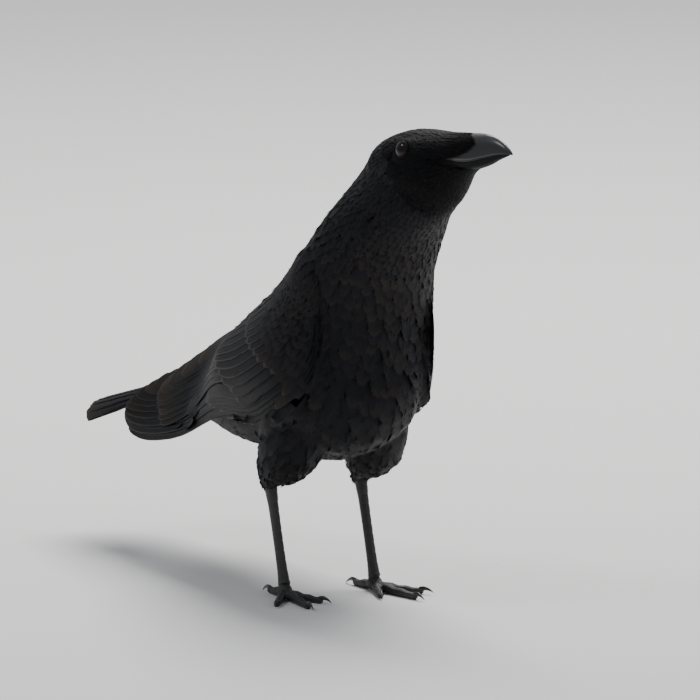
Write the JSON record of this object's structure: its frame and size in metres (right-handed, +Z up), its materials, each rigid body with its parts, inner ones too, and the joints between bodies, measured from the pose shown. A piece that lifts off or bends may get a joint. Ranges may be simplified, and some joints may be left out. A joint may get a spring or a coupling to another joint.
{
  "type": "carrion crow",
  "caption": "Still, life-size black crow standing upright on two feet, wings folded, head raised and turned a little to its left.",
  "frame": {"origin": "on the floor, under the middle of the bird's bounding box", "axes": "the body faces +X, its right side is -Y, +Z is up and the soles rest on z = 0"},
  "size_m": [0.406, 0.0994, 0.2644],
  "materials": {
    "feathers": "black vaned feathers with a soft satin gloss",
    "horn": "smooth slate-black horn, worn satin",
    "scaled_skin": "black scutes and fine scales",
    "eye": "wet, nearly black brown"
  },
  "bodies": {
    "root": {"trunk": "feathers", "neck": "feathers", "head": "feathers", "bill_upper": "horn", "bill_lower": "horn", "eye_right": "eye", "eye_left": "eye", "tail": "feathers", "wing_right": "feathers", "thigh_right": "feathers", "tarsus_right": "scaled_skin", "foot_right": "scaled_skin", "claw_right_1": "horn", "claw_right_2": "horn", "claw_right_3": "horn", "claw_right_4": "horn", "wing_left": "feathers", "thigh_left": "feathers", "tarsus_left": "scaled_skin", "foot_left": "scaled_skin", "claw_left_1": "horn", "claw_left_2": "horn", "claw_left_3": "horn", "claw_left_4": "horn"}
  },
  "joints": []
}
